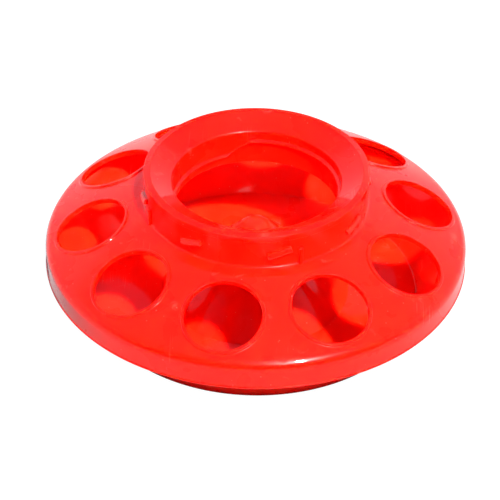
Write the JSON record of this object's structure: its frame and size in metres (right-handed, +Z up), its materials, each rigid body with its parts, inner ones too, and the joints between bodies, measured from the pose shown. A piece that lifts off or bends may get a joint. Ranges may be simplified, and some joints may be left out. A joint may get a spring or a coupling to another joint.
{
  "type": "jar feeder base",
  "caption": "Round screw-on feeder base: a domed cover with a ring of round feed holes and a threaded jar collar over a shallow pan with a central cone.",
  "frame": {"origin": "centre of the pan's flat bottom, on the surface it stands on", "axes": "+Z up along the jar's axis; -Y towards the side that the camera looks from"},
  "size_m": [0.183, 0.183, 0.0651],
  "materials": {
    "cover_plastic": "glossy red injection-moulded polypropylene with fine handling scratches",
    "pan_plastic": "glossy red injection-moulded polypropylene with fine handling scratches"
  },
  "bodies": {
    "pan_body": {"pan": "pan_plastic"},
    "cover_body": {"cover": "cover_plastic"}
  },
  "joints": [
    {"name": "cover_lift", "type": "slide", "parent": "pan_body", "child": "cover_body", "axis": [0, 0, 1], "range_m": [0, 0.07]}
  ]
}
